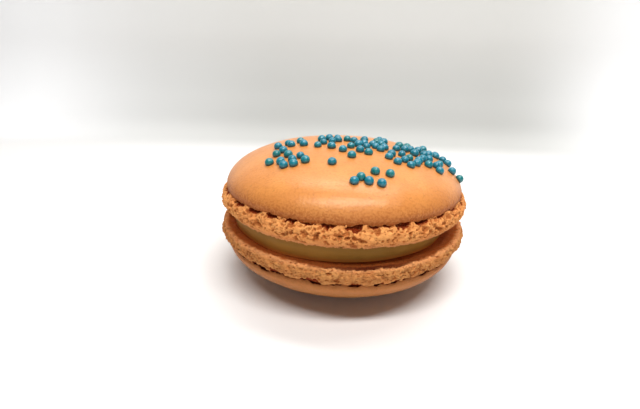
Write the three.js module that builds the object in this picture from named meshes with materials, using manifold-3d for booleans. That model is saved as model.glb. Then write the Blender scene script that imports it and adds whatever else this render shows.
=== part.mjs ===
import * as THREE from 'three';
import { mergeVertices } from 'three/addons/utils/BufferGeometryUtils.js';
import Module from 'manifold-3d';

const wasm = await Module();
wasm.setup();

// A filled macaron, in millimetres. It stands on the flattened crown of its lower shell. The origin
// is the middle of that flat spot, +Z is up, and -Y is the front. A bearing is an angle round the
// axis, 0 at the front and growing towards +X.

// Driving dimensions
const SEAM_RADIUS = 21.55; // of each smooth dome, where it meets its foot
const DOME_POWER = 2.16; // 2 makes an elliptical dome, more a squarer shoulder
const UPPER_DOME_HEIGHT = 7.8;
const LOWER_DOME_HEIGHT = 7.2;
const REST_SINK = 0.12; // of the lower crown, flattened by the shell's own weight
const UPPER_FOOT = { height: 3.9, lip: 21.1, bulge: 1.15, widest: 0.5 };
const LOWER_FOOT = { height: 3.2, lip: 22.0, bulge: 0.75, widest: 0.4 };
const SHELL_GAP = 2.2; // between the two flat faces, on the axis
const FACE_DISH = 0.2; // how far a flat face lies inside its lip
const LIP_WIDTH = 0.5;
const CROWN_RADIUS = 3; // of the dome's last ring, unless its flat spot is wider
const UPPER_LEAN = { pitch: -1.2, roll: 0.6 }; // degrees about X and Y: the front gapes a little
const FILLING = { radius: 19.9, shift: -0.8, bulge: 0.45, clearance: 0.3 };
const SPRINKLE_RADIUS = 0.75;
const SPRINKLE_SPREAD = 0.08; // how far a radius may depart from that, as a share
const SPRINKLE_SINK = 0.3; // of its radius
const SPRINKLE_SPACING = 0.96; // of the sum of two radii: they may press together a little
const SPRINKLE_LIMIT = 20.5; // farther from the axis they roll off
const CRUMB_DEPTH = 0.22; // of the lumps on a foot
const CREVICE_DEPTH = 1.5; // of the torn seam above a foot
const CREVICE_SLOPE = { side: 1.5, below: 0.35, steepness: 1.6 }; // degrees, millimetres, ratio
const EDGE_WAVE = 0.09; // how far a dome's edge strays up and down
const SHELL_UNEVENNESS = 0.003; // of a shell's outline, as a share of its radius
const FILLING_UNEVENNESS = 0.006;
const SLIVER = 0.004; // features finer than this are smoothed away after joining
const SHELL_SEGMENTS = 120;
const FILLING_SEGMENTS = 72;
const FOOT_RINGS = [0.07, 0.24, 0.42, 0.58, 0.72, 0.83, 0.93]; // shares of the foot's height
const DOME_RINGS = [0, 13, 26, 39, 51, 62, 71]; // degrees up the dome's curve

const SHELL_COLOUR = 0xeda268;
const FILLING_COLOUR = 0x8f6a2c;

// Torn openings under the dome's edge: bearing and half width in degrees, height in millimetres.
const UPPER_CREVICES = [
  [-59, 6, 0.7], [-44, 3, 0.7], [-35, 3, 0.7], [-28, 4, 0.8], [-15, 5, 0.9], [-5, 4, 0.8],
  [5, 4, 1.7], [10, 2, 0.8], [24, 4, 1.0], [33, 5, 1.5], [42, 4, 0.7], [55, 6, 0.5],
];
const LOWER_CREVICES = [
  [-54, 3, 1.0], [-37, 5, 1.0], [-27, 4, 0.7], [-11, 5, 0.9], [5, 2, 0.5], [14, 2, 0.6],
  [18, 3, 0.6], [29, 2, 0.6], [38, 6, 0.8],
];
const HIDDEN_SIDE = [66, 292]; // bearings that the two lists leave to chance

// Sprinkles that lie apart from the others: x and y.
const STRAYS = [
  [-1.9, -12.0], [-0.3, -6.6], [1.2, -9.2], [2.6, -6.3], [4.0, -7.3], [1.6, -16.8], [2.6, -15.8],
  [3.8, -16.5], [4.8, -14.0], [7.1, -13.9], [5.7, -16.5], [18.9, -3.7], [20.3, -3.7],
];

// Where sprinkles fell thickly: oval patches, each filled from its own seed.
const PATCHES = [
  { x: -7.9, y: -10.9, long: 2.0, wide: 2.2, turn: 0, count: 5, seed: 8570 },
  { x: -10.8, y: -8.2, long: 2.0, wide: 2.9, turn: 0, count: 5, seed: 9930 },
  { x: -9.3, y: -2.3, long: 2.9, wide: 2.1, turn: 0, count: 5, seed: 10706 },
  { x: -3.0, y: -1.4, long: 2.4, wide: 4.6, turn: 0, count: 8, seed: 6522 },
  { x: 2.6, y: -1.2, long: 2.6, wide: 4.0, turn: 0, count: 8, seed: 10428 },
  { x: 6.4, y: -1.2, long: 1.5, wide: 4.2, turn: 0, count: 7, seed: 152 },
  { x: 9.9, y: -7.6, long: 3.2, wide: 2.2, turn: 0, count: 9, seed: 2114 },
  { x: 12.2, y: -1.0, long: 3.8, wide: 2.4, turn: 18, count: 9, seed: 606 },
  { x: 14.9, y: -5.6, long: 2.4, wide: 2.4, turn: -10, count: 6, seed: 5174 },
  { x: 16.8, y: 2.4, long: 2.9, wide: 1.6, turn: -25, count: 5, seed: 4749 },
];

const TURN = 2 * Math.PI;
const radians = THREE.MathUtils.degToRad;
const degrees = THREE.MathUtils.radToDeg;

// A repeatable stream of numbers between 0 and 1.
function draws(seed) {
  let state = seed;
  return () => {
    state = (state * 48271) % 2147483647;
    return state / 2147483647;
  };
}

// A wavy unevenness about 1 high round the axis, made of waves that each fit it a whole number of
// times. The waves drift with height by up to the given slant.
function ripple(seed, fewest, most, step, slant) {
  const next = draws(seed);
  const waves = [];
  for (let count = fewest; count <= most; count += step) {
    waves.push({ count, phase: TURN * next(), drift: slant * (2 * next() - 1) });
  }
  return (bearing, height) => {
    let sum = 0;
    for (const wave of waves) {
      sum += Math.sin(wave.count * bearing + wave.drift * height + wave.phase);
    }
    return sum / Math.sqrt(waves.length);
  };
}

// The listed crevices, and more of the same kind on the side that nobody listed.
function allCrevices(listed, seed) {
  const next = draws(seed);
  const crevices = listed.slice();
  let bearing = HIDDEN_SIDE[0];
  while (bearing < HIDDEN_SIDE[1]) {
    const halfWidth = 2 + 4 * next();
    bearing += halfWidth;
    crevices.push([bearing, halfWidth, 0.5 + 0.9 * next()]);
    bearing += halfWidth + 5 * next();
  }
  return crevices;
}

// How deeply the seam is torn, from 0 to 1, at a bearing and a depth below the dome's edge.
function tear(crevices, bearing, below) {
  let deepest = 0;
  for (const [middle, halfWidth, height] of crevices) {
    const offset = THREE.MathUtils.euclideanModulo(degrees(bearing) - middle + 180, 360) - 180;
    const across = Math.abs(offset) / (halfWidth + CREVICE_SLOPE.side);
    const down = below / (height + CREVICE_SLOPE.below);
    deepest = Math.max(deepest, 1 - across ** 2 - down ** 3);
  }
  return Math.min(1, CREVICE_SLOPE.steepness * deepest);
}

// Height of a dome above its seam, as a squarish ellipse.
function domeHeight(height, radius) {
  return height * (1 - (radius / SEAM_RADIUS) ** DOME_POWER) ** (1 / DOME_POWER);
}

// Half of a shell's section, flat face down, from the axis out along the face, up the foot and over
// the dome back to the axis.
function shellProfile(foot, dome, flattening) {
  const points = [[0, FACE_DISH], [foot.lip - 1.8 * LIP_WIDTH, FACE_DISH], [foot.lip - LIP_WIDTH, 0]];
  for (const up of FOOT_RINGS) {
    const outward = Math.sin(Math.PI * up ** (Math.log(0.5) / Math.log(foot.widest)));
    points.push([THREE.MathUtils.lerp(foot.lip, SEAM_RADIUS, up) + foot.bulge * outward, foot.height * up]);
  }
  for (const turn of DOME_RINGS) {
    const radius = SEAM_RADIUS * Math.cos(radians(turn)) ** (2 / DOME_POWER);
    points.push([radius, foot.height + Math.min(domeHeight(dome, radius), dome - flattening)]);
  }
  const flat = SEAM_RADIUS * (1 - (1 - flattening / dome) ** DOME_POWER) ** (1 / DOME_POWER);
  const crown = Math.max(flat, CROWN_RADIUS);
  points.push([crown, foot.height + domeHeight(dome, crown)], [0, foot.height + dome - flattening]);
  return points;
}

// A profile turned round the vertical axis. Its first point is on the axis, below the last one.
function turned(profile, segments) {
  const points = profile.map(([radius, height]) => new THREE.Vector2(radius, height));
  const geometry = new THREE.LatheGeometry(points, segments);
  geometry.rotateX(Math.PI / 2);
  return geometry;
}

// Moves each point of a turned geometry to the radius and height that a rule gives it.
function reshape(geometry, rule) {
  const place = geometry.getAttribute('position');
  for (let i = 0; i < place.count; i += 1) {
    const radius = Math.hypot(place.getX(i), place.getY(i));
    const bearing = Math.atan2(place.getX(i), -place.getY(i));
    const [newRadius, newHeight] = rule(bearing, radius, place.getZ(i));
    place.setXYZ(i, newRadius * Math.sin(bearing), -newRadius * Math.cos(bearing), newHeight);
  }
  return geometry;
}

// The geometry with its shared points merged and its empty triangles dropped.
function welded(geometry) {
  geometry.deleteAttribute('normal');
  geometry.deleteAttribute('uv');
  const merged = mergeVertices(geometry, 1e-3);
  const corners = merged.index.array;
  const kept = [];
  for (let i = 0; i < corners.length; i += 3) {
    const [a, b, c] = corners.slice(i, i + 3);
    if (a !== b && b !== c && c !== a) kept.push(a, b, c);
  }
  merged.setIndex(kept);
  return merged;
}

// One shell of the macaron, flat face down with its lip at height 0: a smooth dome on a crumbly foot,
// with a torn seam between them.
function shell(foot, dome, flattening, crevices, seed) {
  const lumps = ripple(seed, 15, 43, 4, 2.2);
  const outline = ripple(seed + 1, 2, 5, 1, 0);
  const edge = ripple(seed + 2, 7, 31, 6, 0);
  const smooth = turned(shellProfile(foot, dome, flattening), SHELL_SEGMENTS);
  return reshape(smooth, (bearing, radius, height) => {
    const up = height / foot.height;
    let newRadius = radius * (1 + SHELL_UNEVENNESS * outline(bearing, 0));
    let newHeight = height;
    const onFoot = radius > foot.lip - LIP_WIDTH / 2 && up < 0.99;
    if (onFoot) {
      const lumpiness = Math.sin(Math.PI * (0.2 + 0.8 * up));
      newRadius += CRUMB_DEPTH * lumpiness * lumps(bearing, height);
      newRadius -= CREVICE_DEPTH * tear(crevices, bearing, foot.height - height);
    }
    if (up > 0.9 && up < 1.01) newHeight += EDGE_WAVE * edge(bearing, 0);
    return [newRadius, newHeight];
  });
}

// The smooth dome's surface at a plan position: its height above the seam, and its outward direction.
function onDome(x, y) {
  const radius = Math.hypot(x, y);
  const height = domeHeight(UPPER_DOME_HEIGHT, radius);
  const outward = (radius / SEAM_RADIUS) ** (DOME_POWER - 1) / SEAM_RADIUS;
  const upward = (height / UPPER_DOME_HEIGHT) ** (DOME_POWER - 1) / UPPER_DOME_HEIGHT;
  const direction = new THREE.Vector3((outward * x) / radius, (outward * y) / radius, upward);
  return { height, direction: direction.normalize() };
}

// All sprinkles, as x, y and radius: the strays first, then the patches, none of them on another.
function scatter() {
  const placed = STRAYS.map(([x, y]) => ({ x, y, radius: SPRINKLE_RADIUS }));
  for (const patch of PATCHES) {
    const next = draws(patch.seed);
    const turn = radians(patch.turn);
    let left = patch.count;
    for (let tries = 0; left > 0 && tries < 400; tries += 1) {
      const reach = Math.sqrt(next());
      const angle = TURN * next();
      const radius = SPRINKLE_RADIUS * (1 - SPRINKLE_SPREAD + 2 * SPRINKLE_SPREAD * next());
      const along = patch.long * reach * Math.cos(angle);
      const across = patch.wide * reach * Math.sin(angle);
      const x = patch.x + along * Math.cos(turn) - across * Math.sin(turn);
      const y = patch.y + along * Math.sin(turn) + across * Math.cos(turn);
      const free = placed.every((other) => (
        Math.hypot(x - other.x, y - other.y) > SPRINKLE_SPACING * (radius + other.radius)
      ));
      if (free && Math.hypot(x, y) < SPRINKLE_LIMIT) {
        placed.push({ x, y, radius });
        left -= 1;
      }
    }
  }
  return placed;
}

// A closed geometry as a solid that can be joined to others.
function solid(geometry) {
  return new wasm.Manifold(new wasm.Mesh({
    numProp: 3,
    vertProperties: geometry.getAttribute('position').array,
    triVerts: new Uint32Array(geometry.index.array),
  }));
}

// The upper shell with every sprinkle sunk a little into its dome and fused to it.
function sprinkledShell() {
  const bare = shell(UPPER_FOOT, UPPER_DOME_HEIGHT, 0, allCrevices(UPPER_CREVICES, 11), 5);
  let whole = solid(welded(bare));
  for (const { x, y, radius } of scatter()) {
    const { height, direction } = onDome(x, y);
    const ball = new THREE.OctahedronGeometry(radius, 1);
    ball.applyQuaternion(new THREE.Quaternion().setFromUnitVectors(new THREE.Vector3(0, 0, 1), direction));
    const rise = direction.clone().multiplyScalar(radius * (1 - SPRINKLE_SINK));
    ball.translate(x + rise.x, y + rise.y, UPPER_FOOT.height + height + rise.z);
    whole = whole.add(solid(welded(ball)));
  }
  const { vertProperties, triVerts } = whole.simplify(SLIVER).getMesh();
  const geometry = new THREE.BufferGeometry();
  geometry.setAttribute('position', new THREE.BufferAttribute(vertProperties, 3));
  geometry.setIndex(new THREE.BufferAttribute(triVerts, 1));
  geometry.computeVertexNormals();
  return geometry;
}

const FACE_HEIGHT = LOWER_DOME_HEIGHT + LOWER_FOOT.height;
const UPPER_BASE = FACE_HEIGHT + SHELL_GAP;

// The lower shell: the same kind of shell upside down, its crown flattened where it rests.
function lowerShell() {
  const dome = LOWER_DOME_HEIGHT + REST_SINK;
  const geometry = shell(LOWER_FOOT, dome, REST_SINK, allCrevices(LOWER_CREVICES, 23), 9);
  reshape(geometry, (bearing, radius, height) => [radius, FACE_HEIGHT - height]);
  const corners = geometry.index.array;
  for (let i = 0; i < corners.length; i += 3) {
    [corners[i + 1], corners[i + 2]] = [corners[i + 2], corners[i + 1]];
  }
  return welded(geometry);
}

// The layer of filling: a bulging disc between the faces, its top cut to the upper shell's lean.
function fillingLayer() {
  const base = FACE_HEIGHT - FACE_DISH;
  const profile = [[0, 0]];
  for (const up of [0, 0.15, 0.5, 0.85, 1]) {
    profile.push([FILLING.radius - FILLING.bulge * (2 * up - 1) ** 2, up]);
  }
  profile.push([0, 1]);
  const outline = ripple(17, 2, 9, 1, 0);
  const geometry = reshape(turned(profile, FILLING_SEGMENTS), (bearing, radius, up) => (
    [radius * (1 + FILLING_UNEVENNESS * outline(bearing, 0)), up]
  ));
  geometry.translate(FILLING.shift, 0, 0);
  const place = geometry.getAttribute('position');
  const pitch = Math.tan(radians(UPPER_LEAN.pitch));
  const roll = Math.tan(radians(UPPER_LEAN.roll));
  for (let i = 0; i < place.count; i += 1) {
    const ceiling = UPPER_BASE - FILLING.clearance + pitch * place.getY(i) - roll * place.getX(i);
    place.setZ(i, THREE.MathUtils.lerp(base, ceiling, place.getZ(i)));
  }
  return welded(geometry);
}

// A named mesh with its own matt or slightly glossy food material.
function piece(name, geometry, color, roughness) {
  const mesh = new THREE.Mesh(geometry, new THREE.MeshStandardMaterial({ color, roughness, metalness: 0 }));
  mesh.name = name;
  return mesh;
}

const macaron = new THREE.Group();

const upper = new THREE.Group();
upper.position.z = UPPER_BASE;
upper.rotation.set(radians(UPPER_LEAN.pitch), radians(UPPER_LEAN.roll), 0, 'YXZ');
upper.add(piece('shell_top', sprinkledShell(), SHELL_COLOUR, 0.62));

macaron.add(upper);
macaron.add(piece('filling', fillingLayer(), FILLING_COLOUR, 0.45));
macaron.add(piece('shell_bottom', lowerShell(), SHELL_COLOUR, 0.62));

export default macaron;
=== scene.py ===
"""A filled macaron with ball sprinkles, dressed around its solids.

Lengths are in millimetres until a mesh is made. A bearing is an angle round the axis, 0 at the
front (-Y) and growing towards +X. A shell is worked out flat face down with its lip at height 0,
and then put in its place, the lower one upside down.
"""
import math

import bpy
import numpy as np
from mathutils import Matrix, Vector


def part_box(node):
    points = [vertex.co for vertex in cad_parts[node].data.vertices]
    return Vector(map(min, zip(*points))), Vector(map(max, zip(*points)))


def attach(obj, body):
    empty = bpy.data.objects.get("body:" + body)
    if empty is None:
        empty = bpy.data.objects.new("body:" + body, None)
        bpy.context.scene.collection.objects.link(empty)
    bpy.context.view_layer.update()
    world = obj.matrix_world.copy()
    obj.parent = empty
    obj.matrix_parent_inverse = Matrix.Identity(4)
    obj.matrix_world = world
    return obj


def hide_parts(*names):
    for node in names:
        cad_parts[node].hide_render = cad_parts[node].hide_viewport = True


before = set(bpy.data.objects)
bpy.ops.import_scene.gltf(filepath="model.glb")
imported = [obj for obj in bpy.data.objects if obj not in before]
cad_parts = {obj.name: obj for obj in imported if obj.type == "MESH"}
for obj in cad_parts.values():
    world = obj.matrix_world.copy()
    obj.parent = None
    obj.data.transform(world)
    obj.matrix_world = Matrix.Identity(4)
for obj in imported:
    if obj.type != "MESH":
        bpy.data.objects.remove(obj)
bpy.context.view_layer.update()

# Sizes shared with the solids, in millimetres and degrees
MM = 0.001
TURN = 2 * math.pi
SEAM_RADIUS = 21.55
DOME_POWER = 2.16
UPPER_DOME_HEIGHT = 7.8
LOWER_DOME_HEIGHT = 7.2
REST_SINK = 0.12
UPPER_FOOT = {"height": 3.9, "lip": 21.1, "bulge": 1.15, "widest": 0.5}
LOWER_FOOT = {"height": 3.2, "lip": 22.0, "bulge": 0.75, "widest": 0.4}
FACE_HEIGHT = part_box("shell_bottom")[1].z / MM
SHELL_GAP = 2.2
UPPER_BASE = FACE_HEIGHT + SHELL_GAP
FACE_DISH = 0.2
LEAN_PITCH = -1.2
LEAN_ROLL = 0.6
FILLING_RADIUS = 19.9
CRUMB_DEPTH = 0.22
LUMP_SHARE = 0.3
LUMP_SLANT = 2.2
EDGE_WAVE = 0.09
SHELL_UNEVENNESS = 0.003
FILLING_UNEVENNESS = 0.006
UPPER_SEED = 5
LOWER_SEED = 9
FILLING_SEED = 17

# Ripples round the axis, as fewest and most waves and the step between
OUTLINE_WAVES = (2, 5, 1)
EDGE_WAVES = (7, 31, 6)
LUMP_WAVES = (15, 43, 4)
FILLING_WAVES = (2, 9, 1)

# Where the visible filling lies, how far it presses into the upper shell, and how its side wanders
# as size and depth of the waves and their seed
FILLING_SHIFT = (-0.45, -0.3)
FILLING_INSET = 0.25
FILLING_PRESS = 0.06
FILLING_WANDER = [(2.2, 0.07, 61), (0.7, 0.025, 62)]

# The bearing where the front of the lower shell sags most, and how far round that fades, in degrees
SAG_BEARING = 12
SAG_WIDTH = 28

# Torn openings at the dome's edge: bearing and half width in degrees, height in millimetres
UPPER_CREVICES = [
    (-66, 3, 0.4), (-50, 4.5, 0.5), (-39, 4, 0.65), (-29, 3, 0.5), (-20, 2.5, 0.5), (-13, 4, 0.3),
    (-5, 3, 0.4), (5, 3.5, 0.9), (13, 2, 0.4), (18, 1.5, 0.3), (24.5, 3.5, 0.6), (34, 3.5, 0.7),
    (46, 3, 0.3), (56, 4, 0.3),
]
LOWER_CREVICES = [
    (-55, 4, 0.9), (-37, 5, 0.9), (-27, 3.5, 1.0), (-11.5, 5, 0.8), (0.5, 2, 0.3), (7, 3.5, 0.3),
    (16, 3, 0.35), (23, 2, 0.6), (29, 2, 0.4), (37, 4.5, 0.7),
]
UPPER_CREVICE_SEED = 11
LOWER_CREVICE_SEED = 23
# How far a pit fades out past its half width, in degrees, and past its height, in millimetres
CREVICE_SIDE = 0.2
CREVICE_BELOW = 0.1
CREVICE_STEEPNESS = 1.6
# The bearings between which the openings follow a rule instead of the lists
HIDDEN_SIDE = (66, 292)

# Sprinkles: their radius; as shares of it, how far it may depart, how deep they sink and how close
# two may lie; how far from the axis they stay; and how far each is out of round
SPRINKLE_RADIUS = 0.75
SPRINKLE_SPREAD = 0.08
SPRINKLE_SINK = 0.6
SPRINKLE_SPACING = 0.96
SPRINKLE_LIMIT = 20.5
SPRINKLE_STRETCH = (0.95, 1.03)
SPRINKLE_DENTS = 0.012
SPRINKLE_SEED = 77
SPRINKLE_TRIES = 400
# Sprinkles that lie apart from the others, as x and y
STRAYS = [
    (-1.9, -12.0), (-0.3, -6.6), (1.2, -9.2), (2.6, -6.3), (4.0, -7.3), (1.6, -16.8), (2.6, -15.8),
    (3.8, -16.5), (4.8, -14.0), (7.1, -13.9), (5.7, -16.5), (18.9, -3.7), (20.3, -3.7),
]
# Oval patches where they fell thickly, turned by so many degrees
PATCHES = [
    {"x": -7.9, "y": -10.9, "long": 2.0, "wide": 2.2, "turn": 0, "count": 5, "seed": 8570},
    {"x": -10.8, "y": -8.2, "long": 2.0, "wide": 2.9, "turn": 0, "count": 5, "seed": 9930},
    {"x": -9.3, "y": -2.3, "long": 2.9, "wide": 2.1, "turn": 0, "count": 5, "seed": 10706},
    {"x": -3.0, "y": -1.4, "long": 2.4, "wide": 4.6, "turn": 0, "count": 8, "seed": 6522},
    {"x": 2.6, "y": -1.2, "long": 2.6, "wide": 4.0, "turn": 0, "count": 8, "seed": 10428},
    {"x": 6.4, "y": -1.2, "long": 1.5, "wide": 4.2, "turn": 0, "count": 7, "seed": 152},
    {"x": 9.9, "y": -7.6, "long": 3.2, "wide": 2.2, "turn": 0, "count": 9, "seed": 2114},
    {"x": 12.2, "y": -1.0, "long": 3.8, "wide": 2.4, "turn": 18, "count": 9, "seed": 606},
    {"x": 14.9, "y": -5.6, "long": 2.4, "wide": 2.4, "turn": -10, "count": 6, "seed": 5174},
    {"x": 16.8, "y": 2.4, "long": 2.9, "wide": 1.6, "turn": -25, "count": 5, "seed": 4749},
]

# The crust's curled underside, as radius and height above the seam, from the axis outwards
CRUST_UNDERSIDE = [
    (0, 0.5), (12, 0.5), (18.6, 0.4), (20.2, 0.22), (20.9, 0.06), (21.22, -0.05), (21.44, -0.02),
]
# The angle on the superellipse where the dome begins, and how its rings crowd towards that edge
CRUST_START = math.radians(5.5)
CRUST_RING_SPREAD = 1.15

# Waves of the crust, the raggedness of its edge, and how far up the edge, its painted shading and the
# sag reach
GENTLE_WAVES = {"size": 5.5, "height": 0.045}
FINE_WAVES = {"size": 1.3, "height": 0.012}
RAGGED_COLUMNS = 190
RAGGED_HEIGHT = 0.17
RAGGED_OUT = 0.05
RAGGED_REACH = 0.9
EDGE_SHADING_REACH = 1.7
SAG_REACH = 2.2

# The flat face of a foot, as rings inside its lip
FACE_RADII = (0, 9, 15, 18)
FACE_START = 18.6
LIP_WIDTH = 0.35
# The hidden cap of a foot: radius, rise above the seam, share of the tear and of the relief
FOOT_CAP = [(21.2, 0.08, 1, 0.5), (20.4, 0.2, 0.8, 0), (19, 0.35, 0.3, 0), (14, 0.5, 0, 0)]

# Sizes of the cells and patterns of the crumb, and the share of a cell that its dome covers
PATCH_SIZE = 3.0
CREST_SIZE = 1.15
CRUMB_SIZE = 0.62
GRIT_SIZE = 0.34
GRAIN_SIZES = (0.3, 0.16)
FLAKE_SIZES = (0.55, 0.3)
GRAIN_HEIGHT = 0.02
DOME_REACH = 0.8
GRIT_REACH = 0.75

# How each foot is baked, heights and reaches in millimetres:
# low, the share of the coarse crumb that is left at the lip; crumbs, grit and flakes, their heights;
# flush, how much the relief calms down towards the seam; brim and climb, how far the crumb stands
# out and up against the crust; crease, the depth between crumbs at the seam; opening and recess,
# the height scale and the depth of the torn openings; inset, how far the whole relief is set back;
# sag, how far the front bulges out; stain, the share of it that the rim of the painted shadow on the
# flat face follows; bubbles, the open bowls from large to small, as cell size, share of the cells,
# depth, and offset of the seed
UPPER_STYLE = {
    "low": 0.3,
    "crumbs": 0.28,
    "grit": 0.1,
    "flakes": 0.02,
    "flush": 0.4,
    "brim": 0.15,
    "climb": 0.09,
    "crease": 0.15,
    "opening": 0.85,
    "recess": 0.6,
    "inset": 0.16,
    "sag": 0.0,
    "shadow_shift": 0.0,
    "bubbles": [(1.25, 0.4, 0.36, 60), (0.7, 0.55, 0.24, 70), (0.42, 0.45, 0.13, 80)],
}
LOWER_STYLE = {
    "low": 0.9,
    "crumbs": 0.3,
    "grit": 0.16,
    "flakes": 0.11,
    "flush": 0.9,
    "brim": 0.0,
    "climb": 0.0,
    "crease": 0.03,
    "opening": 1.3,
    "recess": 0.3,
    "inset": 0.14,
    "sag": 0.45,
    "shadow_shift": 0.5,
    "bubbles": [(1.1, 0.08, 0.2, 60), (0.7, 0.12, 0.14, 70), (0.42, 0.35, 0.07, 80)],
}

# Colours as linear light: the tint of the gloss on crust, crumb and filling, and white
WARM = (1.0, 0.9, 0.74, 1.0)
WHITE = (1.0, 1.0, 1.0, 1.0)

# The camera: how far and how high it stands from a spot above the origin, how it is turned, and
# its focal length as a share of the picture's width
CAMERA_DISTANCE = 84.39
CAMERA_ELEVATION = math.radians(22.21)
CAMERA_SPOT_HEIGHT = 10
CAMERA_PITCH = math.radians(21.03)
CAMERA_YAW = math.radians(-3.09)
CAMERA_TILT = math.radians(1.14)
FOCAL_SHARE = 431.96 / 640
SENSOR_WIDTH = 36

# The stage: where the floor bends up, the wall's painted light and shade as lowest height, full
# height and colour, how painted light lightens the wall to the left, and how it turns white on both
# sides of its middle
STAGE_REACH = 900
FLOOR_ROWS = (-900, -200)
STAGE_HEIGHT = 700
STAGE_BEND = 40
STAGE_BEND_START = 74
FLOOR_SHADE = (240, 238, 236)
WALL_SHADES = [
    (0.0, 4.0, (200, 200, 196)),
    (4.0, 11.0, (183, 183, 179)),
    (11.0, 20.0, (190, 190, 186)),
    (20.0, 48.0, (219, 218, 214)),
]
LEFT_FADE = (20, 110)
LEFT_LIGHTNESS = 0.42
WALL_MIDDLE = -9
SIDE_FADE = (66, 130)

# Soft lights: name, place, target, width and depth, and power in watts
LIGHTS = [
    ("front_strip", (20, -112, 300), (0, 0, 10), (300, 50), 0.98),
    ("rear_strip", (20, 80, 300), (0, 0, 10), (300, 50), 0.5),
    ("low_fill", (40, -200, 55), (0, 0, 12), (120, 80), 0.038),
]
SURROUND = (1.0, 0.99, 0.98, 1)
SURROUND_STRENGTH = 0.055

# Fineness of the meshes
DOME_SEGMENTS = 800
DOME_RINGS = 84
FOOT_SEGMENTS = 1220
FOOT_RINGS = 56
FACE_RINGS = 14
FILLING_SEGMENTS = 720
FILLING_RINGS = 26
BALL_RINGS = 13
BALL_SEGMENTS = 18


def draws(seed):
    """A repeatable stream of numbers between 0 and 1."""
    state = seed
    while True:
        state = state * 48271 % 2147483647
        yield state / 2147483647


def ripple(seed, fewest, most, step, slant):
    """A sum of sines round the axis, each a whole number of waves, drifting with height. It comes
    back as a function of bearing and height."""
    stream = draws(seed)
    waves = []
    for count in range(fewest, most + 1, step):
        phase = TURN * next(stream)
        waves.append((count, phase, slant * (2 * next(stream) - 1)))

    def height_at(bearing, height):
        total = 0
        for count, phase, drift in waves:
            total = total + np.sin(count * bearing + drift * height + phase)
        return total / math.sqrt(len(waves))

    return height_at


def all_crevices(listed, seed):
    """The listed crevices, and more of the same kind on the hidden side: half widths of 2 to 6
    degrees, heights of 0.3 to 0.9 mm and gaps of up to 5 degrees."""
    stream = draws(seed)
    crevices = list(listed)
    bearing = HIDDEN_SIDE[0]
    while bearing < HIDDEN_SIDE[1]:
        half_width = 2 + 4 * next(stream)
        bearing += half_width
        crevices.append((bearing, half_width, 0.3 + 0.6 * next(stream)))
        bearing += half_width + 5 * next(stream)
    return crevices


def tear(crevices, bearing, below):
    """How deeply the seam is torn, 0 to 1: each crevice is an oval pit hanging from the seam."""
    deepest = np.zeros(np.broadcast(bearing, below).shape)
    for middle, half_width, height in crevices:
        offset = (np.degrees(bearing) - middle + 180) % 360 - 180
        across = np.abs(offset) / (half_width + CREVICE_SIDE)
        down = np.maximum(below, 0) / (height + CREVICE_BELOW)
        deepest = np.maximum(deepest, 1 - across ** 2 - down ** 3)
    return np.minimum(1, CREVICE_STEEPNESS * deepest)


def ease(value):
    """The smooth step 3t^2 - 2t^3 of a value held between 0 and 1."""
    held = np.clip(value, 0, 1)
    return held * held * (3 - 2 * held)


def between(low, high, value):
    """0 below low, 1 above high, and an eased ramp between; high may be the lower one."""
    return ease((value - low) / (high - low))


def lattice_noise(a, b, columns, rows, seed):
    """Noise from -1 to 1: random values on a lattice of unit squares, blended by the eased
    fractions of a and b. It repeats every `columns` in a and every `rows` in b."""
    table = np.random.default_rng(seed).uniform(-1, 1, (columns, rows))
    i = np.floor(a).astype(int)
    j = np.floor(b).astype(int)
    s = ease(a - i)
    t = ease(b - j)
    left = i % columns
    right = (i + 1) % columns
    below = j % rows
    above = (j + 1) % rows
    near = table[left, below] * (1 - s) + table[right, below] * s
    far = table[left, above] * (1 - s) + table[right, above] * s
    return near * (1 - t) + far * t


def scattered_cells(a, b, columns, rows, seed):
    """Points scattered one to a unit square: the distance to the nearest, its own random number,
    and where it lies. They repeat as lattice_noise does."""
    points = np.random.default_rng(seed).random((columns, rows, 3))
    i = np.floor(a).astype(int)
    j = np.floor(b).astype(int)
    nearest = np.full(a.shape, 9.0)
    number = np.zeros(a.shape)
    point_a = np.zeros(a.shape)
    point_b = np.zeros(a.shape)
    for aside in (-1, 0, 1):
        for along in (-1, 0, 1):
            point = points[(i + aside) % columns, (j + along) % rows]
            here_a = i + aside + point[..., 0]
            here_b = j + along + point[..., 1]
            distance = np.hypot(here_a - a, here_b - b)
            closer = distance < nearest
            nearest = np.where(closer, distance, nearest)
            number = np.where(closer, point[..., 2], number)
            point_a = np.where(closer, here_a, point_a)
            point_b = np.where(closer, here_b, point_b)
    return nearest, number, point_a, point_b


class Wrapped:
    """Noise laid round a shell: one side runs round the axis, the other up along the profile."""

    ROWS = 256
    MIDDLE_ROW = 64

    def __init__(self, bearing, along):
        self.bearing = bearing
        self.along = along

    def lattice(self, size, seed, stretch=1.0):
        """lattice_noise with squares of the given size, stretched round the axis."""
        columns = round(TURN * SEAM_RADIUS / (size * stretch))
        a = self.bearing / TURN * columns
        b = self.along / size + self.MIDDLE_ROW
        return lattice_noise(a, b, columns, self.ROWS, seed)

    def cells(self, size, seed, bend=0.0):
        """scattered_cells of the given size, with their outlines bent by finer noise. The points
        come back as bearing and millimetres up along the profile."""
        columns = round(TURN * SEAM_RADIUS / size)
        a = self.bearing / TURN * columns + bend * self.lattice(size * 0.6, seed + 1)
        b = self.along / size + self.MIDDLE_ROW + bend * self.lattice(size * 0.6, seed + 2)
        nearest, number, point_a, point_b = scattered_cells(a, b, columns, self.ROWS, seed)
        return nearest, number, point_a * TURN / columns, (point_b - self.MIDDLE_ROW) * size


def frontness(bearing):
    """1 at the bearing where the lower shell sags most, falling away to both sides."""
    turned = (np.degrees(bearing) - SAG_BEARING + 180) % 360 - 180
    return np.exp(-((turned / SAG_WIDTH) ** 2))


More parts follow.
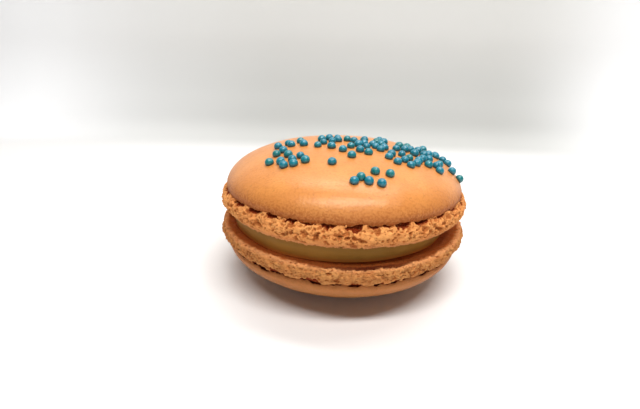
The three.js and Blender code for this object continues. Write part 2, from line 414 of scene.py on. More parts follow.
def shell_waves(seed):
    """A shell's slow outline and its wavy edge, the same for its crust and its foot."""
    outline = ripple(seed + 1, *OUTLINE_WAVES, 0)
    edge = ripple(seed + 2, *EDGE_WAVES, 0)
    return outline, edge


def dome_height(dome, radius):
    """Height above the seam: dome (1 - (radius / R)^p)^(1/p)."""
    share = np.clip(radius / SEAM_RADIUS, 0, 1)
    return dome * (1 - share ** DOME_POWER) ** (1 / DOME_POWER)


def new_mesh(name, points, quads, triangles, finish, attributes=None):
    """A smooth-shaded mesh object of points in millimetres, with its finish and its values."""
    mesh = bpy.data.meshes.new(name)
    mesh.vertices.add(len(points))
    mesh.vertices.foreach_set("co", (points * MM).astype(np.float32).ravel())
    corners = np.concatenate([quads.ravel(), triangles.ravel()]).astype(np.int32)
    sizes = np.concatenate([np.full(len(quads), 4), np.full(len(triangles), 3)])
    starts = np.concatenate([[0], np.cumsum(sizes)[:-1]]).astype(np.int32)
    mesh.loops.add(len(corners))
    mesh.loops.foreach_set("vertex_index", corners)
    mesh.polygons.add(len(sizes))
    mesh.polygons.foreach_set("loop_start", starts)
    mesh.update(calc_edges=True)
    mesh.polygons.foreach_set("use_smooth", np.ones(len(sizes), bool))
    for key, values in (attributes or {}).items():
        layer = mesh.attributes.new(key, "FLOAT", "POINT")
        layer.data.foreach_set("value", values.astype(np.float32))
    mesh.materials.append(finish)
    piece = bpy.data.objects.new(name, mesh)
    bpy.context.scene.collection.objects.link(piece)
    return piece


def ring_faces(rings, count):
    """Squares between rings of `count` points, numbered ring by ring, and the triangles that close
    the first ring to the point after the last, and the last ring to the point after that."""
    index = np.arange(rings * count).reshape(rings, count)
    following = np.roll(index, -1, axis=1)
    quads = np.stack([index[:-1], following[:-1], following[1:], index[1:]], -1).reshape(-1, 4)
    pole = np.full(count, rings * count)
    low = np.stack([pole, following[0], index[0]], -1)
    high = np.stack([pole + 1, index[-1], following[-1]], -1)
    return quads, np.concatenate([low, high])


def turned_surface(name, x, y, z, finish, flip=False, attributes=None):
    """A closed skin over rings of points. The arrays are rings by bearings, the first and the last
    ring each stand for one point, and flip turns the faces round."""
    rings, count = x.shape
    skin = np.stack([x, y, z], -1)
    poles = np.stack([skin[0].mean(0), skin[-1].mean(0)])
    points = np.concatenate([skin[1:-1].reshape(-1, 3), poles])
    quads, triangles = ring_faces(rings - 2, count)
    if flip:
        quads = quads[:, ::-1]
        triangles = triangles[:, ::-1]
    values = {}
    for key, array in (attributes or {}).items():
        ends = [array[0].mean(), array[-1].mean()]
        values[key] = np.concatenate([array[1:-1].ravel(), ends])
    return new_mesh(name, points, quads, triangles, finish, values)


def leaned(x, y, z):
    """The upper shell's place: pitched about X, then rolled about Y, and lifted to its base."""
    pitch = math.radians(LEAN_PITCH)
    roll = math.radians(LEAN_ROLL)
    y_turned = y * math.cos(pitch) - z * math.sin(pitch)
    z_turned = y * math.sin(pitch) + z * math.cos(pitch)
    x_rolled = x * math.cos(roll) + z_turned * math.sin(roll)
    z_rolled = z_turned * math.cos(roll) - x * math.sin(roll)
    return x_rolled, y_turned, z_rolled + UPPER_BASE


def upturned(x, y, z):
    """The lower shell's place: upside down, its lip at the face's height."""
    return x, y, FACE_HEIGHT - z


def dome_skin(name, foot, dome, flattening, sag, seed, place, flip, finish):
    """The smooth crust: a superellipse r = R cos(s)^(2/p), z = H sin(s)^(2/p) over the seam, with
    slow waves, a ragged edge that is curled under, and a shallow ceiling above the foot. Its top is
    cut flat by `flattening`, and its edge bulges out by `sag` at the front."""
    bearing = np.linspace(0, TURN, DOME_SEGMENTS, endpoint=False)
    share = np.linspace(0, 1, DOME_RINGS) ** CRUST_RING_SPREAD
    turn = CRUST_START + (math.pi / 2 - CRUST_START) * share
    radius = SEAM_RADIUS * np.cos(turn) ** (2 / DOME_POWER)
    radius[-1] = 0
    height = np.minimum(dome_height(dome, radius), dome - flattening)
    radius = np.concatenate([[r for r, _ in CRUST_UNDERSIDE], radius])[:, None]
    height = np.concatenate([[z for _, z in CRUST_UNDERSIDE], height])[:, None]

    outline, edge = shell_waves(seed)
    x = radius * np.sin(bearing)
    y = -radius * np.cos(bearing)
    size = GENTLE_WAVES["size"]
    gentle = lattice_noise(x / size + 32, y / size + 32, 64, 64, seed + 20)
    size = FINE_WAVES["size"]
    fine = lattice_noise(x / size + 64, y / size + 64, 128, 128, seed + 21)
    ragged = 0
    for columns, strength, offset in [(RAGGED_COLUMNS, 1, 22), (2 * RAGGED_COLUMNS, 0.7, 23)]:
        around = bearing / TURN * columns
        ragged = ragged + strength * lattice_noise(around, 0 * bearing, columns, 1, seed + offset)

    at_edge = np.exp(-((height / RAGGED_REACH) ** 2))
    # How near the seam a point lies, for the painted shading, the pimples and the roughness at the
    # crust's edge
    near_edge = np.exp(-((np.maximum(height, 0) / EDGE_SHADING_REACH) ** 2))
    sagging = frontness(bearing) * np.exp(-((height / SAG_REACH) ** 2))
    radius = radius * (1 + SHELL_UNEVENNESS * outline(bearing, 0))
    radius = radius + RAGGED_OUT * at_edge * ragged * (radius > 1)
    radius = radius + sag * sagging * between(19, 21, radius)
    loose = ease((dome - flattening - height) / 0.2) if flattening else 1
    waves = GENTLE_WAVES["height"] * gentle + FINE_WAVES["height"] * fine
    height = height + foot["height"] + waves * (height > 0.2) * loose
    height = height + at_edge * (EDGE_WAVE * edge(bearing, 0) + RAGGED_HEIGHT * ragged)
    x, y, z = place(radius * np.sin(bearing), -radius * np.cos(bearing), height)
    tucked = np.zeros(x.shape)
    tucked[:len(CRUST_UNDERSIDE) - 1] = 1
    values = {"edge": np.broadcast_to(near_edge, x.shape), "tucked": tucked}
    return turned_surface(name, x, y, z, finish, flip, values)


def foot_profile(foot):
    """Rings of the foot as rows of radius, height, share of the band's height, share of the
    tear and share of the relief: the flat face, the lip, the bulging band, and a hidden cap. The
    band is r = lip + (R - lip) up + bulge sin(pi up^w), where w puts the greatest bulge at the
    share `widest` of the height."""
    power = math.log(0.5) / math.log(foot["widest"])
    up = np.linspace(0, 1, 2000)
    radius = foot["lip"] + (SEAM_RADIUS - foot["lip"]) * up
    radius = radius + foot["bulge"] * np.sin(math.pi * up ** power)
    height = foot["height"] * up
    length = np.concatenate([[0], np.cumsum(np.hypot(np.diff(radius), np.diff(height)))])
    band_up = np.interp(np.linspace(0, length[-1], FOOT_RINGS), length, up)
    rows = [(r, FACE_DISH, 0, 0, 0) for r in FACE_RADII]
    for reach in np.linspace(0, 1, FACE_RINGS):
        r = FACE_START + (foot["lip"] - LIP_WIDTH - FACE_START) * reach
        drop = FACE_DISH * float(between(1, 0.75, reach))
        rows.append((r, drop, 0, 0, 0.6 * reach))
    for share in band_up:
        r = float(np.interp(share, up, radius))
        rows.append((r, foot["height"] * share, share, 1, 1))
    for r, rise, recede, relief in FOOT_CAP:
        rows.append((r, foot["height"] + rise, 1, recede, relief))
    rows.append((0, foot["height"] + FOOT_CAP[-1][1], 1, 0, 0))
    return np.array(rows)


def profile_frame(radius, height):
    """How far along the profile each ring lies, and the unit vector that points out of it."""
    slope_r = np.gradient(radius[:, 0])[:, None]
    slope_z = np.gradient(height[:, 0])[:, None]
    size = np.maximum(np.hypot(slope_r, slope_z), 1e-9)
    steps = np.hypot(np.diff(radius[:, 0]), np.diff(height[:, 0]))
    along = np.concatenate([[0], np.cumsum(steps)])[:, None]
    return along, slope_z / size, -slope_r / size


def crumb_relief(wrapped, share_up, crumb_dome, patchy, seed, style):
    """Height of the crumb in millimetres, and how open its bubbles are, 0 to 1. It adds up domes
    over scattered cells of three sizes, bowls with a low rim at some cells of three more sizes,
    fine grain, and flakes drawn out round the axis."""
    coarse = style["low"] + (1 - style["low"]) * between(0.08, 0.55, share_up)
    crest, _, _, _ = wrapped.cells(CREST_SIZE, seed + 30, bend=0.45)
    grit, _, _, _ = wrapped.cells(GRIT_SIZE, seed + 36, bend=0.3)
    relief = style["crumbs"] * coarse * (0.55 - np.minimum(1, crest / DOME_REACH) ** 2)
    relief = relief + 0.5 * style["crumbs"] * (0.35 + 0.65 * coarse) * (crumb_dome - 0.5)
    relief = relief + style["grit"] * (0.5 - np.minimum(1, grit / GRIT_REACH) ** 2)

    bubbles = np.zeros(relief.shape)
    deepest = style["bubbles"][0][2]
    for spacing, share, depth, offset in style["bubbles"]:
        distance, number, _, _ = wrapped.cells(spacing, seed + offset, bend=0.2)
        chance = share * (1 + 0.6 * patchy) * (0.3 + 0.7 * between(0.06, 0.45, share_up))
        reach = 0.25 + 0.25 * (number * 31.7 % 1)
        bowl = (number < chance) * np.sqrt(np.maximum(0, 1 - (distance / reach) ** 2))
        rim = (number < chance) * np.exp(-(((distance / reach - 1.15) / 0.2) ** 2))
        relief = relief - depth * (bowl - 0.2 * rim)
        bubbles = np.maximum(bubbles, bowl * (0.5 + 0.5 * depth / deepest))

    grain = wrapped.lattice(GRAIN_SIZES[0], seed + 40)
    grain = grain + 0.6 * wrapped.lattice(GRAIN_SIZES[1], seed + 41)
    flakes = wrapped.lattice(FLAKE_SIZES[0], seed + 55, stretch=2.4)
    flakes = flakes + 0.6 * wrapped.lattice(FLAKE_SIZES[1], seed + 56, stretch=2)
    relief = relief + GRAIN_HEIGHT * grain + style["flakes"] * flakes
    return relief, bubbles


def foot_skin(name, foot, crevices, style, seed, place, flip, finish):
    """The ruffled foot: the profile turned round the axis, with lumps as in the solid, crumb and
    open bubbles raised along its normals, and crumbs missing where the seam is torn. The seed's
    offsets give every pattern its own numbers."""
    bearing = np.linspace(0, TURN, FOOT_SEGMENTS, endpoint=False)
    rows = foot_profile(foot)
    radius, height, share_up, recede, amount = (rows[:, [column]] for column in range(5))
    along, out_r, out_z = profile_frame(radius, height)
    first_of_band = len(FACE_RADII) + FACE_RINGS
    lip_along = along[first_of_band, 0]
    seam_along = along[first_of_band + FOOT_RINGS - 1, 0]
    shape = (len(rows), FOOT_SEGMENTS)
    bearing = np.broadcast_to(bearing, shape)
    wrapped = Wrapped(bearing, np.broadcast_to(along, shape))
    patchy = wrapped.lattice(PATCH_SIZE, seed + 39, stretch=1.4)
    crumb, _, crumb_bearing, crumb_along = wrapped.cells(CRUMB_SIZE, seed + 33, bend=0.4)
    crumb_dome = 1 - np.minimum(1, crumb / DOME_REACH) ** 2
    relief, bubbles = crumb_relief(wrapped, share_up, crumb_dome, patchy, seed, style)

    # Tears: partly whole crumbs go, partly the pit's own outline is followed
    crumb_below = (seam_along - crumb_along) * foot["height"] / (seam_along - lip_along)
    local_below = foot["height"] - height + 0.2 * wrapped.lattice(0.8, seed + 45)
    whole = tear(crevices, crumb_bearing, np.maximum(crumb_below, 0) / style["opening"])
    local = tear(crevices, bearing, np.maximum(local_below, 0) / style["opening"])
    torn = recede * between(0.3, 0.5, 0.6 * whole + 0.4 * local)
    crease = between(0.72, 0.95, share_up) * (1 - crumb_dome) * recede

    # Lumps and crumb along the normals
    lumps = ripple(seed, *LUMP_WAVES, LUMP_SLANT)
    outline, edge = shell_waves(seed)
    lumpiness = np.sin(math.pi * (0.2 + 0.8 * share_up)) * (share_up > 0)
    shift = CRUMB_DEPTH * LUMP_SHARE * lumpiness * lumps(bearing, height)
    calm = 1 - style["flush"] * between(0.6, 0.95, share_up)
    shift = shift + amount * (relief * (1 - 0.4 * torn) * calm - style["inset"])

    # Outwards: the brim under the crust, the torn openings, the creases and the sag
    brim = between(0.55, 0.85, share_up) * recede * (1 - torn) * (0.8 + 0.4 * patchy)
    front = frontness(bearing)
    sag = style["sag"] * front * between(15, 21, radius)
    new_radius = radius * (1 + SHELL_UNEVENNESS * outline(bearing, 0)) + out_r * shift
    new_radius = new_radius + style["brim"] * brim - style["recess"] * torn - style["crease"] * crease
    new_radius = new_radius + sag

    # Upwards: the wavy seam, the crumb that climbs against the crust, and the uneven lip
    at_seam = between(0.9, 0.96, share_up)
    climb = style["climb"] * (0.3 + crumb_dome) * (0.8 + 0.5 * patchy)
    at_lip = between(0.08, 0.0, share_up) * between(foot["lip"] - 1.2, foot["lip"] - 0.3, radius)
    lip_waves = 0.07 * wrapped.lattice(1.1, seed + 50) + 0.06 * wrapped.lattice(0.4, seed + 51)
    new_height = height + out_z * shift + at_seam * EDGE_WAVE * edge(bearing, 0)
    new_height = new_height + climb * (1 - torn) * recede * between(0.75, 1.0, share_up)
    new_height = new_height + at_lip * lip_waves
    x, y, z = place(new_radius * np.sin(bearing), -new_radius * np.cos(bearing), new_height)

    # What the finish reads: `inward` is the way in from the lip over the flat face
    dent = np.clip(0.35 - relief / style["crumbs"] * 0.5, 0, 1) * amount * 0.5
    wander = 0.12 * wrapped.lattice(0.9, seed + 52) + 0.12 * wrapped.lattice(0.4, seed + 53)
    # The painted shadow of the upper shell on the flat face runs in from the lip, moved out with the
    # sag
    inward = lip_along - 0.1 + style["shadow_shift"] * sag - along + wander
    values = {
        "up": np.broadcast_to(share_up, x.shape),
        "hollow": np.clip(bubbles * amount * 0.9 + dent + crease * 0.3, 0, 1),
        "torn": torn,
        # Painted shadow of the upper shell, strongest at the front
        "face_shadow": front * between(-0.12, 0.1, inward) * (1 - 0.7 * between(0.9, 1.9, inward)),
        "inside": between(-0.1, 0.6, inward),
    }
    return turned_surface(name, x, y, z, finish, flip, values)


def filling_layer(name, finish):
    """The filling: a disc whose side wanders a little, its top pressed against the leaning upper
    face."""
    bearing = np.linspace(0, TURN, FILLING_SEGMENTS, endpoint=False)
    up = np.concatenate([[0, 0, 0], np.linspace(0, 1, FILLING_RINGS), [1, 1, 1]])[:, None]
    inner = np.concatenate([[0, 0.5, 0.9], np.ones(FILLING_RINGS), [0.9, 0.5, 0]])[:, None]
    outline = ripple(FILLING_SEED, *FILLING_WAVES, 0)
    shape = (len(up), FILLING_SEGMENTS)
    wrapped = Wrapped(np.broadcast_to(bearing, shape), np.broadcast_to(up * SHELL_GAP, shape))
    side = (FILLING_RADIUS - FILLING_INSET) * (1 + FILLING_UNEVENNESS * outline(bearing, 0))
    for size, depth, seed in FILLING_WANDER:
        side = side + depth * wrapped.lattice(size, seed, stretch=3)
    radius = inner * side
    x = radius * np.sin(bearing) + FILLING_SHIFT[0]
    y = -radius * np.cos(bearing) + FILLING_SHIFT[1]
    floor = FACE_HEIGHT - FACE_DISH
    ceiling = UPPER_BASE + FILLING_PRESS + math.tan(math.radians(LEAN_PITCH)) * y
    ceiling = ceiling - math.tan(math.radians(LEAN_ROLL)) * x
    z = floor + (ceiling - floor) * up
    return turned_surface(name, x, y, z, finish, attributes={"up": np.broadcast_to(up, x.shape)})


def scatter():
    """All sprinkles as x, y and radius: the strays first, then each patch, none on another."""
    placed = [(x, y, SPRINKLE_RADIUS) for x, y in STRAYS]
    for patch in PATCHES:
        stream = draws(patch["seed"])
        turn = math.radians(patch["turn"])
        left = patch["count"]
        for _ in range(SPRINKLE_TRIES):
            if left == 0:
                break
            reach = math.sqrt(next(stream))
            angle = TURN * next(stream)
            radius = SPRINKLE_RADIUS * (1 - SPRINKLE_SPREAD + 2 * SPRINKLE_SPREAD * next(stream))
            along = patch["long"] * reach * math.cos(angle)
            across = patch["wide"] * reach * math.sin(angle)
            x = patch["x"] + along * math.cos(turn) - across * math.sin(turn)
            y = patch["y"] + along * math.sin(turn) + across * math.cos(turn)
            free = all(
                math.hypot(x - other_x, y - other_y) > SPRINKLE_SPACING * (radius + other_radius)
                for other_x, other_y, other_radius in placed
            )
            if free and math.hypot(x, y) < SPRINKLE_LIMIT:
                placed.append((x, y, radius))
                left -= 1
    return np.array(placed)


def unit_ball():
    """Points of a ball of radius 1 in latitudes and longitudes, with its poles last, its squares,
    and the triangles round its poles."""
    latitude = np.linspace(-math.pi / 2, math.pi / 2, BALL_RINGS)[:, None]
    longitude = np.linspace(0, TURN, BALL_SEGMENTS, endpoint=False)
    ball = np.stack([
        np.cos(latitude) * np.sin(longitude),
        -np.cos(latitude) * np.cos(longitude),
        np.broadcast_to(np.sin(latitude), (BALL_RINGS, BALL_SEGMENTS)),
    ], -1)
    body = ball[1:-1].reshape(-1, 3)
    points = np.concatenate([body, [[0, 0, -1], [0, 0, 1]]])
    quads, triangles = ring_faces(BALL_RINGS - 2, BALL_SEGMENTS)
    return points, quads, triangles


def dome_normal(x, y):
    """The unit vector that points out of the upper dome, from the slope of its superellipse."""
    distance = np.hypot(x, y)
    height = dome_height(UPPER_DOME_HEIGHT, distance)
    outward = (distance / SEAM_RADIUS) ** (DOME_POWER - 1) / SEAM_RADIUS
    upward = (height / UPPER_DOME_HEIGHT) ** (DOME_POWER - 1) / UPPER_DOME_HEIGHT
    normal = np.stack([outward * x / distance, outward * y / distance, upward], -1)
    return normal / np.linalg.norm(normal, axis=1, keepdims=True)


def sprinkle_balls(name, finish):
    """All sprinkles as one mesh: copies of a ball, each turned, slightly out of round, and set on
    the dome along its normal."""
    spots = scatter()
    count = len(spots)
    rng = np.random.default_rng(SPRINKLE_SEED)
    points, quads, triangles = unit_ball()
    x, y, radius = spots.T
    height = dome_height(UPPER_DOME_HEIGHT, np.hypot(x, y))
    normal = dome_normal(x, y)
    centre = np.stack([x, y, UPPER_FOOT["height"] + height], -1)
    centre = centre + normal * (radius * (1 - SPRINKLE_SINK))[:, None]

    axes = np.linalg.qr(rng.normal(size=(count, 3, 3)))[0]
    axes = axes * np.sign(np.linalg.det(axes))[:, None, None]
    stretch = rng.uniform(*SPRINKLE_STRETCH, (count, 3))
    shaped = np.einsum("vi,ni,nij->nvj", points, stretch, axes)
    wave = 3 * shaped @ rng.normal(size=3) * 2 + rng.uniform(0, TURN, (count, 1))
    dents = 1 + SPRINKLE_DENTS * np.sin(wave)
    placed = centre[:, None] + shaped * dents[..., None] * radius[:, None, None]
    px, py, pz = leaned(placed[..., 0], placed[..., 1], placed[..., 2])
    offset = (np.arange(count) * len(points))[:, None, None]
    tone = np.repeat(rng.random(count), len(points))
    # How far each point faces into the crust, for the painted shade on the undersides
    under = 0.5 - 0.5 * np.einsum("nvj,nj->nv", shaped, normal)
    return new_mesh(
        name,
        np.stack([px, py, pz], -1).reshape(-1, 3),
        (quads + offset).reshape(-1, 4),
        (triangles + offset).reshape(-1, 3),
        finish,
        {"tone": tone, "under": under.ravel()},
    )


class Signal:
    """A socket of a material's tree. Sums, differences and products of signals and numbers add Math
    nodes."""

    def __init__(self, finish, socket):
        self.finish = finish
        self.socket = socket

    def math(self, operation, first, second):
        node = self.finish.add("ShaderNodeMath", {"operation": operation}, {0: first, 1: second})
        return Signal(self.finish, node.outputs[0])

    def __add__(self, other):
        return self.math("ADD", self, other)

    def __radd__(self, other):
        return self.math("ADD", other, self)

    def __sub__(self, other):
        return self.math("SUBTRACT", self, other)

    def __rsub__(self, other):
        return self.math("SUBTRACT", other, self)

    def __mul__(self, other):
        return self.math("MULTIPLY", self, other)

    def __rmul__(self, other):
        return self.math("MULTIPLY", other, self)

    def ramp(self, low, high):
        """0 below low, 1 above high, smooth between."""
        node = self.finish.add(
            "ShaderNodeMapRange",
            {"interpolation_type": "SMOOTHSTEP"},
            {"Value": self, "From Min": low, "From Max": high, "To Min": 0.0, "To Max": 1.0},
        )
        return Signal(self.finish, node.outputs[0])


def socket_name(key):
    """The shader's own name of a socket: specular_ior_level is Specular IOR Level."""
    return key.replace("_", " ").title().replace("Ior", "IOR")


class Finish:
    """One material and its tree. Patterns are measured in millimetres of Object coordinates."""

    def __init__(self, name, **constants):
        self.material = bpy.data.materials.new(name)
        self.material.use_nodes = True
        self.tree = self.material.node_tree
        self.shader = self.tree.nodes["Principled BSDF"]
        for key, value in constants.items():
            self.shader.inputs[socket_name(key)].default_value = value
        place = self.add("ShaderNodeTexCoord")
        sockets = {"Vector": place.outputs["Object"], "Scale": (1 / MM,) * 3}
        scaled = self.add("ShaderNodeMapping", {}, sockets)
        self.place = scaled.outputs["Vector"]

    def add(self, kind, settings=None, sockets=None):
        """A node of the given type: its settings are made first, then its sockets are fed."""
        node = self.tree.nodes.new(kind)
        for key, value in (settings or {}).items():
            setattr(node, key, value)
        for key, value in (sockets or {}).items():
            self.feed(node.inputs[key], value)
        return node

    def feed(self, socket, value):
        """Links a signal or an output to a socket, or sets the socket's own value."""
        if isinstance(value, Signal):
            value = value.socket
        if isinstance(value, bpy.types.NodeSocket):
            self.tree.links.new(value, socket)
        else:
            socket.default_value = value

    def noise(self, size, detail=2.0, roughness=0.5, stretch=(1, 1, 1)):
        """Noise from 0 to 1 with features of the given size in millimetres."""
        mapped = self.add("ShaderNodeMapping", {}, {"Vector": self.place, "Scale": stretch})
        node = self.add(
            "ShaderNodeTexNoise",
            {},
            {"Vector": mapped.outputs[0], "Scale": 1 / size, "Detail": detail, "Roughness": roughness},
        )
        return Signal(self, node.outputs[0])

    def value(self, key):
        """The piece's own attribute of that name."""
        node = self.add("ShaderNodeAttribute", {"attribute_name": key})
        return Signal(self, node.outputs["Fac"])

    def mix(self, factor, first, second, blend="MIX"):
        """A colour between two colours, or their product with blend MULTIPLY."""
        settings = {"data_type": "RGBA", "blend_type": blend}
        node = self.add("ShaderNodeMix", settings, {0: factor, 6: first, 7: second})
        return node.outputs[2]

    def bumps(self, *layers):
        """One Bump node per (height, depth in millimetres), each on top of the last."""
        normal = None
        for height, depth in layers:
            sockets = {"Height": height, "Distance": depth * MM, "Strength": 1.0}
            if normal is not None:
                sockets["Normal"] = normal
            normal = self.add("ShaderNodeBump", {}, sockets).outputs[0]
        self.feed(self.shader.inputs["Normal"], normal)

    def wear(self, **sockets):
        """Feeds the shader's varying sockets and hands back the finished material."""
        for key, value in sockets.items():
            self.feed(self.shader.inputs[socket_name(key)], value)
        return self.material


def srgb(red, green, blue):
    """A colour of 0 to 255 display values as linear light with full alpha."""
    parts = []
    for part in (red, green, blue):
        share = part / 255
        parts.append(share / 12.92 if share <= 0.04045 else ((share + 0.055) / 1.055) ** 2.4)
    return (*parts, 1.0)


def grey(share):
    """A grey that lets that share of the light through when a colour is multiplied by it."""
    return (share, share, share, 1)


def dome_finish(name, painted_shading, sheen, edge_shading_colour):
    """Smooth baked crust: warm orange with faint mottling, a few toasted freckles and fine pimples
    that thicken towards the edge. A painted shade darkens it all, the lower crust most; near the
    edge a painted shading darkens the upper crust and lightens the lower one; and the hidden
    underside is painted dark as shade."""
    crust = Finish(name, specular_ior_level=sheen, specular_tint=WARM)
    mottle = crust.noise(5.0, detail=3.0)
    cloud = crust.noise(1.6, detail=2.0)
    freckle = crust.noise(0.55, detail=1.0).ramp(0.66, 0.76)
    pimples = crust.noise(0.36, detail=2.0)
    edge = crust.value("edge")
    colour = crust.mix(mottle.ramp(0.35, 0.7), srgb(220, 141, 70), srgb(227, 150, 78))
    colour = crust.mix(cloud.ramp(0.4, 0.75) * 0.35, colour, srgb(212, 134, 70))
    colour = crust.mix(pimples.ramp(0.45, 0.7) * (0.3 + 0.5 * edge), colour, srgb(192, 106, 46))
    colour = crust.mix(freckle * 0.35, colour, srgb(170, 100, 48))
    # Painted shading near the edge: darker on the upper crust, lighter on the lower one
    colour = crust.mix(edge * (0.7 + 0.5 * pimples.ramp(0.35, 0.65)), colour, edge_shading_colour)
    # Painted shade: the whole crust darkened, the lower one most, as it lies in shade
    colour = crust.mix(1.0, colour, grey(painted_shading), "MULTIPLY")
    # Painted shade on the curled underside hidden under the edge
    colour = crust.mix(crust.value("tucked").ramp(0.2, 0.8), colour, srgb(96, 34, 8))
    crust.bumps((crust.noise(2.2, detail=2.0), 0.05), (pimples * (1 + 2.5 * edge), 0.035))
    return crust.wear(base_color=colour, roughness=0.27 + 0.1 * cloud + 0.4 * edge)


def foot_finish(name, painted_shading, hollow_shading, fissures, lip_reach, lip_tint_and_highlight):
    """Open baked crumb: pale on its crests, with painted shade in its pores, creases, fissures and
    torn seam, a pinkish lip that is a painted highlight on the lower foot, browner on the flat face,
    and darkest in a painted shadow of the upper shell on the front of the face."""
    crumb = Finish(name, specular_ior_level=0.15, specular_tint=WARM)
    up = crumb.value("up")
    hollow = crumb.value("hollow")
    torn = crumb.value("torn")
    tint = crumb.noise(2.6, detail=3.0)
    speckle = crumb.noise(0.3, detail=2.0)
    fissure = crumb.noise(0.7, detail=3.0, roughness=0.65, stretch=(1, 1, 2.2)).ramp(0.5, 0.7)
    colour = crumb.mix(tint.ramp(0.35, 0.7), srgb(230, 150, 84), srgb(242, 168, 98))
    # Painted shade: the whole crumb darkened, the lower foot most, as it lies in shade
    colour = crumb.mix(1.0, colour, grey(painted_shading), "MULTIPLY")
    # Painted shade along the fissures
    colour = crumb.mix(fissure * fissures, colour, srgb(170, 96, 48))
    # The lip: pinkish on the upper foot, a painted highlight on the top-facing lip of the lower foot
    colour = crumb.mix((1 - up.ramp(0.0, lip_reach)) * 0.7, colour, lip_tint_and_highlight)
    # Painted shade in pores, dents and creases
    colour = crumb.mix(hollow.ramp(0.05, 0.9) * hollow_shading, colour, srgb(166, 84, 32))
    # Painted shade in the torn openings
    colour = crumb.mix(torn.ramp(0.02, 0.4), colour, srgb(128, 42, 8))
    colour = crumb.mix(speckle.ramp(0.55, 0.8) * 0.3, colour, srgb(252, 196, 122))
    colour = crumb.mix(crumb.value("inside"), colour, srgb(186, 100, 44))
    # Painted shadow of the upper shell on the front of the flat face
    colour = crumb.mix(crumb.value("face_shadow"), colour, srgb(86, 31, 8))
    crumb.bumps((crumb.noise(0.28, detail=3.0, roughness=0.6), 0.1), (1 - fissure, 0.12 * fissures))
    return crumb.wear(base_color=colour, roughness=0.72 + 0.15 * speckle)


def filling_finish(name):
    """Smooth olive-brown filling with faint streaks round it, painted shade towards the upper shell
    and painted orange bounce light near the lower one.
    """
    cream = Finish(name, specular_ior_level=0.22, specular_tint=WARM)
    streak = cream.noise(1.0, detail=3.0, stretch=(0.4, 0.4, 2.5))
    cloud = cream.noise(3.0)
    colour = cream.mix(cloud.ramp(0.3, 0.7), srgb(186, 133, 54), srgb(195, 142, 62))
    colour = cream.mix(streak.ramp(0.4, 0.75) * 0.3, colour, srgb(168, 119, 47))
    # Painted shade towards the upper shell
    colour = cream.mix(cream.value("up").ramp(0.2, 1.0), colour, srgb(148, 104, 42))
    # Painted orange bounce light from the crust near the lower shell
    colour = cream.mix(1 - cream.value("up").ramp(0.0, 0.25), colour, srgb(230, 152, 68))
    cream.bumps((streak, 0.04))
    return cream.wear(base_color=colour, roughness=0.42 + 0.1 * streak)


def sprinkle_finish(name):
    """Glazed sugar balls in teal blue, some greener, with an uneven coat of colour and painted shade
    on their undersides.
    """
    sugar = Finish(name, specular_ior_level=0.7)
    tone = sugar.value("tone")
    coat = sugar.noise(0.5, detail=2.0)
    colour = sugar.mix(tone, srgb(12, 116, 136), srgb(30, 134, 156))
    colour = sugar.mix(tone.ramp(0.6, 0.95) * 0.7, colour, srgb(16, 116, 106))
    colour = sugar.mix(coat.ramp(0.5, 0.8) * 0.3, colour, srgb(70, 154, 180))
    # Painted shade on the underside of each ball
    colour = sugar.mix(sugar.value("under").ramp(0.3, 0.75) * 0.85, colour, srgb(8, 50, 60))
    sugar.bumps((sugar.noise(0.3, detail=2.0), 0.02))
    return sugar.wear(base_color=colour, roughness=0.22 + 0.15 * coat)


def aim_camera():
    """A wide camera close to the macaron, looking down at it with a slight turn and tilt."""
    forward = Vector((
        math.sin(CAMERA_YAW) * math.cos(CAMERA_PITCH),
        math.cos(CAMERA_YAW) * math.cos(CAMERA_PITCH),
        -math.sin(CAMERA_PITCH),
    ))
    right = forward.cross(Vector((0, 0, 1))).normalized()
    up = right.cross(forward)
    tilted_right = right * math.cos(CAMERA_TILT) + up * math.sin(CAMERA_TILT)
    tilted_up = up * math.cos(CAMERA_TILT) - right * math.sin(CAMERA_TILT)
    data = bpy.data.cameras.new("camera")
    data.sensor_width = SENSOR_WIDTH
    data.lens = FOCAL_SHARE * SENSOR_WIDTH
    data.clip_start = 2 * MM
    camera = bpy.data.objects.new("camera", data)
    bpy.context.scene.collection.objects.link(camera)
    turn = Matrix((tilted_right, tilted_up, -forward)).transposed().to_4x4()
    back = CAMERA_DISTANCE * math.cos(CAMERA_ELEVATION)
    height = CAMERA_SPOT_HEIGHT + CAMERA_DISTANCE * math.sin(CAMERA_ELEVATION)
    camera.matrix_world = Matrix.Translation(Vector((0, -back, height)) * MM) @ turn
    bpy.context.scene.camera = camera


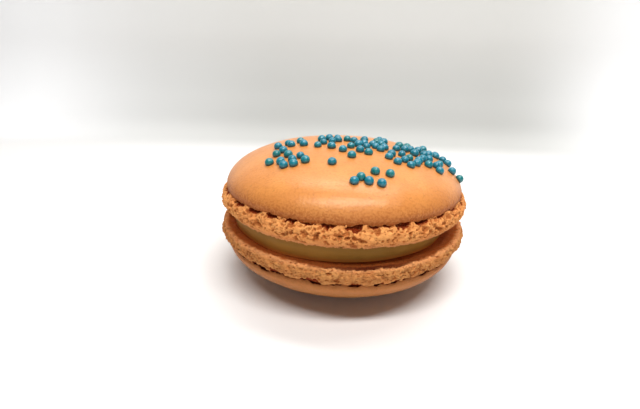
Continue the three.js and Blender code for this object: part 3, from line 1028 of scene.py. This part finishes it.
def stage_sweep():
    """A pale floor that curves up as a quarter circle into a pale wall well behind the macaron. The
    wall carries painted light and shade: grey bands low down, lighter to the left and white to both
    far sides."""
    width = np.linspace(-STAGE_REACH, STAGE_REACH, 3)
    angle = np.linspace(0, math.pi / 2, 17)
    bend_y = STAGE_BEND_START + STAGE_BEND * np.sin(angle)
    bend_z = STAGE_BEND * (1 - np.cos(angle))
    y = np.concatenate([FLOOR_ROWS, bend_y, [STAGE_BEND_START + STAGE_BEND]])
    z = np.concatenate([[0, 0], bend_z, [STAGE_HEIGHT]])
    grid = (len(y), len(width))
    points = np.stack([
        np.broadcast_to(width, grid),
        np.broadcast_to(y[:, None], grid),
        np.broadcast_to(z[:, None], grid),
    ], -1).reshape(-1, 3)
    index = np.arange(len(points)).reshape(grid)
    corners = [index[:-1, :-1], index[:-1, 1:], index[1:, 1:], index[1:, :-1]]
    quads = np.stack(corners, -1).reshape(-1, 4)

    paper = Finish("studio_paper", roughness=0.8)
    position = paper.add("ShaderNodeSeparateXYZ", {}, {"Vector": paper.place})
    across = Signal(paper, position.outputs["X"])
    height = Signal(paper, position.outputs["Z"])
    colour = srgb(*FLOOR_SHADE)
    # Painted light and shade on the wall: grey bands, lighter to the left, white far aside
    for low, high, painted_shading in WALL_SHADES:
        colour = paper.mix(height.ramp(low, high), colour, srgb(*painted_shading))
    wall = height.ramp(WALL_SHADES[0][0], WALL_SHADES[0][1])
    colour = paper.mix(wall * (0 - across).ramp(*LEFT_FADE) * LEFT_LIGHTNESS, colour, WHITE)
    aside = across - WALL_MIDDLE
    far_aside = (aside * aside).ramp(SIDE_FADE[0] ** 2, SIDE_FADE[1] ** 2)
    colour = paper.mix(wall * far_aside, colour, WHITE)
    sweep = new_mesh("sweep", points, quads, np.zeros((0, 3), int), paper.wear(base_color=colour))


def soft_light(name, place, target, size, power):
    """A rectangular area light at a place, facing a target, all in millimetres."""
    data = bpy.data.lights.new(name, "AREA")
    data.shape = "RECTANGLE"
    data.size = size[0] * MM
    data.size_y = size[1] * MM
    data.energy = power
    light = bpy.data.objects.new(name, data)
    bpy.context.scene.collection.objects.link(light)
    light.location = Vector(place) * MM
    facing = Vector(target) - Vector(place)
    light.rotation_euler = facing.to_track_quat("-Z", "Y").to_euler()


def light_studio():
    """Two long strips above, one in front of the macaron and one behind it, a weak low fill in
    front, and a faint pale surround."""
    world = bpy.data.worlds.new("surround")
    world.use_nodes = True
    background = world.node_tree.nodes["Background"]
    background.inputs["Color"].default_value = SURROUND
    background.inputs["Strength"].default_value = SURROUND_STRENGTH
    bpy.context.scene.world = world
    for light in LIGHTS:
        soft_light(*light)


def dress(piece, slot, *nodes):
    """Lets a finished piece ride with the object and stand for its solids, which it hides; slot is not
    used.
    """
    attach(piece, "root")
    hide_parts(*nodes)


bpy.context.scene.view_settings.view_transform = "Standard"

# The lower crust is a darker copy in painted shade, lightened by painted light near its edge
upper_crust = dome_finish("upper_crust", painted_shading=0.96, sheen=0.5, edge_shading_colour=srgb(174, 94, 34))
lower_crust = dome_finish("lower_crust", painted_shading=0.58, sheen=0.25, edge_shading_colour=srgb(250, 160, 92))
# The lower crumb is a darker copy in painted shade, with a painted highlight at its lip
upper_crumb = foot_finish(
    "upper_crumb", painted_shading=0.96, hollow_shading=0.7, fissures=0.2, lip_reach=0.4, lip_tint_and_highlight=srgb(204, 134, 86)
)
lower_crumb = foot_finish(
    "lower_crumb", painted_shading=0.72, hollow_shading=0.75, fissures=1, lip_reach=0.2, lip_tint_and_highlight=srgb(240, 164, 106)
)
upper_crevices = all_crevices(UPPER_CREVICES, UPPER_CREVICE_SEED)
lower_crevices = all_crevices(LOWER_CREVICES, LOWER_CREVICE_SEED)
lower_dome_height = LOWER_DOME_HEIGHT + REST_SINK
upper = (UPPER_SEED, leaned, False)
lower = (LOWER_SEED, upturned, True)

upper_dome = dome_skin(
    "upper_dome", UPPER_FOOT, UPPER_DOME_HEIGHT, 0, UPPER_STYLE["sag"], *upper, upper_crust
)
upper_foot = foot_skin("upper_foot", UPPER_FOOT, upper_crevices, UPPER_STYLE, *upper, upper_crumb)
lower_dome = dome_skin(
    "lower_dome", LOWER_FOOT, lower_dome_height, REST_SINK, LOWER_STYLE["sag"], *lower, lower_crust
)
lower_foot = foot_skin("lower_foot", LOWER_FOOT, lower_crevices, LOWER_STYLE, *lower, lower_crumb)
filling = filling_layer("filling_layer", filling_finish("filling_cream"))
sprinkles = sprinkle_balls("sprinkle_balls", sprinkle_finish("sprinkle_sugar"))

dress(upper_dome, "shell", "shell_top")
dress(upper_foot, "shell", "shell_top")
dress(lower_dome, "shell", "shell_bottom")
dress(lower_foot, "shell", "shell_bottom")
dress(filling, "filling", "filling")
dress(sprinkles, "sprinkles", "shell_top")

aim_camera()
stage_sweep()
light_studio()
